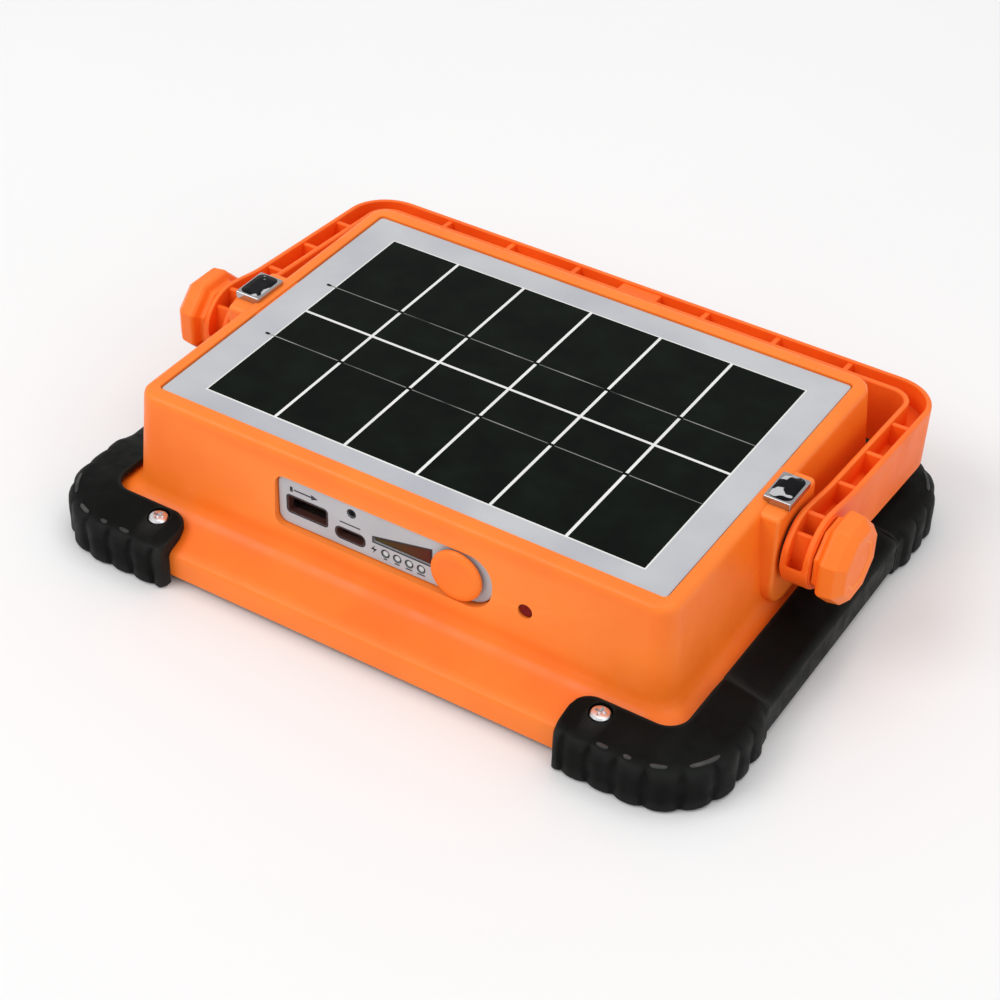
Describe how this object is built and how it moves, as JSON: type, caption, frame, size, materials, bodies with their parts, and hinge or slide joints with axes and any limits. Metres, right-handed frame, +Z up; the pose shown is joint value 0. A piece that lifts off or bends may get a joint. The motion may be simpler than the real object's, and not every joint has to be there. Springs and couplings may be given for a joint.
{
  "type": "solar flood light",
  "caption": "Rechargeable work light: LED reflectors on the front, solar panel on the back, folding carry handle, magnets, rubber corners and a charging port plate.",
  "frame": {"origin": "middle of the lamp's footprint, on the surface that its front corners rest on", "axes": "+X along the long side (to the right seen from the port side), +Y away from the port side, +Z up out of the solar panel"},
  "size_m": [0.236, 0.173, 0.0534],
  "materials": {
    "orange_abs": "satin",
    "black_rubber": "matte",
    "steel": "satin",
    "clear_cover": "clear gloss",
    "grey_silicone": "matte",
    "silvered_plastic": "mirror gloss",
    "white_board": "satin",
    "solar_laminate": "gloss",
    "seal_tape": "matte",
    "plated_magnet": "polished",
    "silver_plastic": "satin",
    "gauge_amber": "gloss",
    "switch_black": "matte",
    "red_lens": "gloss",
    "clear_guide": "clear gloss",
    "green_board": "satin",
    "cell_wrap": "satin",
    "holder_black": "matte",
    "washer_rubber": "matte"
  },
  "bodies": {
    "housing": {"battery_cell_1": "cell_wrap", "battery_cell_2": "cell_wrap", "battery_cell_3": "cell_wrap", "battery_holder": "holder_black", "bumper_back_left": "black_rubber", "bumper_back_right": "black_rubber", "bumper_front_left": "black_rubber", "bumper_front_right": "black_rubber", "bumper_screw_back_left": "steel", "bumper_screw_back_right": "steel", "bumper_screw_front_left": "steel", "bumper_screw_front_right": "steel", "charge_light": "red_lens", "control_board": "green_board", "corner_cap_back_left": "orange_abs", "corner_cap_back_right": "orange_abs", "corner_cap_front_left": "orange_abs", "corner_cap_front_right": "orange_abs", "cover_gasket": "grey_silicone", "friction_washer_left": "washer_rubber", "friction_washer_right": "washer_rubber", "front_cover": "clear_cover", "gauge_window": "gauge_amber", "led_board_1": "white_board", "led_board_2": "white_board", "led_board_3": "white_board", "led_board_4": "white_board", "light_guide": "clear_guide", "magnet_left": "plated_magnet", "magnet_right": "plated_magnet", "panel_seal": "seal_tape", "pivot_bolt_left": "steel", "pivot_bolt_right": "steel", "port_plate": "silver_plastic", "push_switch": "switch_black", "rear_housing": "orange_abs", "reflector_tray": "silvered_plastic", "side_bar_left": "black_rubber", "side_bar_right": "black_rubber", "solar_panel": "solar_laminate", "usb_a_socket": "steel", "usb_c_socket": "steel"},
    "handle": {"handle": "orange_abs"},
    "knob_left": {"clamp_knob_left": "orange_abs"},
    "knob_right": {"clamp_knob_right": "orange_abs"},
    "power_button": {"power_button": "orange_abs"}
  },
  "joints": [
    {"name": "handle_swing", "type": "hinge", "parent": "housing", "child": "handle", "pos_m": [0, 0, 0.0365], "axis": [1, 0, 0], "range_deg": [0, 188]},
    {"name": "knob_left_turn", "type": "hinge", "parent": "housing", "child": "knob_left", "pos_m": [-0.1125, 0, 0.0365], "axis": [-1, 0, 0], "range_deg": [0, 360]},
    {"name": "knob_right_turn", "type": "hinge", "parent": "housing", "child": "knob_right", "pos_m": [0.1125, 0, 0.0365], "axis": [1, 0, 0], "range_deg": [0, 360]},
    {"name": "button_press", "type": "slide", "parent": "housing", "child": "power_button", "axis": [0, 1, 0], "range_m": [0, 0.0008], "stiffness_N_per_m": 700, "springref_m": -0.001}
  ]
}
